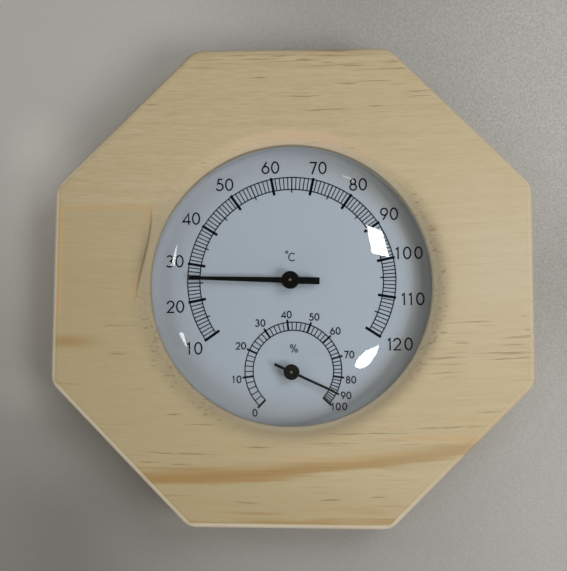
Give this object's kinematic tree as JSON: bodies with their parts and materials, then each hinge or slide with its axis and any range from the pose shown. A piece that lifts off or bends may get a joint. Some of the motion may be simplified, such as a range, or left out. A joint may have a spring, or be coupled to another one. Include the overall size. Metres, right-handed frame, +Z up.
{
  "type": "wall thermo-hygrometer",
  "caption": "Octagonal wooden wall instrument with a domed glass over one dial, a large temperature pointer and a small humidity pointer, hung from a keyhole plate.",
  "frame": {"origin": "point on the wall plane where the nail's shank carries the keyhole plate", "axes": "+X to the right of the reader, +Z up, +Y into the wall, so the dial looks along -Y"},
  "size_m": [0.17, 0.027, 0.17],
  "materials": {
    "pine": "sanded pale pine with fine horizontal grain, unvarnished",
    "dome_glass": "clear polished glass with a faint green edge",
    "spacer_plastic": "satin pale grey",
    "dial_enamel": "satin cool white lacquer on aluminium",
    "pointer_black": "matt black lacquer",
    "dial_print": "printed blue-black ink",
    "cover_plastic": "fine-textured black moulding",
    "brass": "turned brass",
    "zinced_steel": "bright zinc plating",
    "bimetal": "rolled bimetal strip",
    "steel": "ground steel"
  },
  "bodies": {
    "case": {"wood_frame": "pine", "domed_glass": "dome_glass", "spacer_ring": "spacer_plastic", "dial_plate": "dial_enamel", "back_cover": "cover_plastic", "cover_screw_1": "zinced_steel", "cover_screw_2": "zinced_steel", "cover_screw_3": "zinced_steel", "cover_screw_4": "zinced_steel", "hanger_plate": "zinced_steel", "hanger_screw_1": "zinced_steel", "hanger_screw_2": "zinced_steel", "thermo_bush": "brass", "thermo_bush_nut": "brass", "thermo_bracket": "zinced_steel", "thermo_coil_pin": "steel", "thermo_coil": "bimetal", "hygro_bush": "brass", "hygro_bush_nut": "brass", "hygro_bracket": "zinced_steel", "hygro_coil_pin": "steel", "hygro_coil": "brass"},
    "thermo_movement": {"thermo_arbor": "steel", "thermo_collet": "brass", "thermo_pointer_hub": "pointer_black", "thermo_pointer": "pointer_black"},
    "hygro_movement": {"hygro_arbor": "steel", "hygro_collet": "brass", "hygro_pointer_hub": "pointer_black", "hygro_pointer": "pointer_black"}
  },
  "joints": [
    {"name": "thermo_pointer_turn", "type": "hinge", "parent": "case", "child": "thermo_movement", "pos_m": [-0.00025, -0.0128, -0.07313], "axis": [0, 1, 0], "range_deg": [-36.6, 211], "stiffness_Nm_per_rad": 0.002, "deforming": ["thermo_coil"]},
    {"name": "hygro_pointer_turn", "type": "hinge", "parent": "case", "child": "hygro_movement", "pos_m": [0.00033, -0.0128, -0.106], "axis": [0, 1, 0], "range_deg": [-250.9, 17.7], "stiffness_Nm_per_rad": 0.0002, "deforming": ["hygro_coil"]}
  ]
}
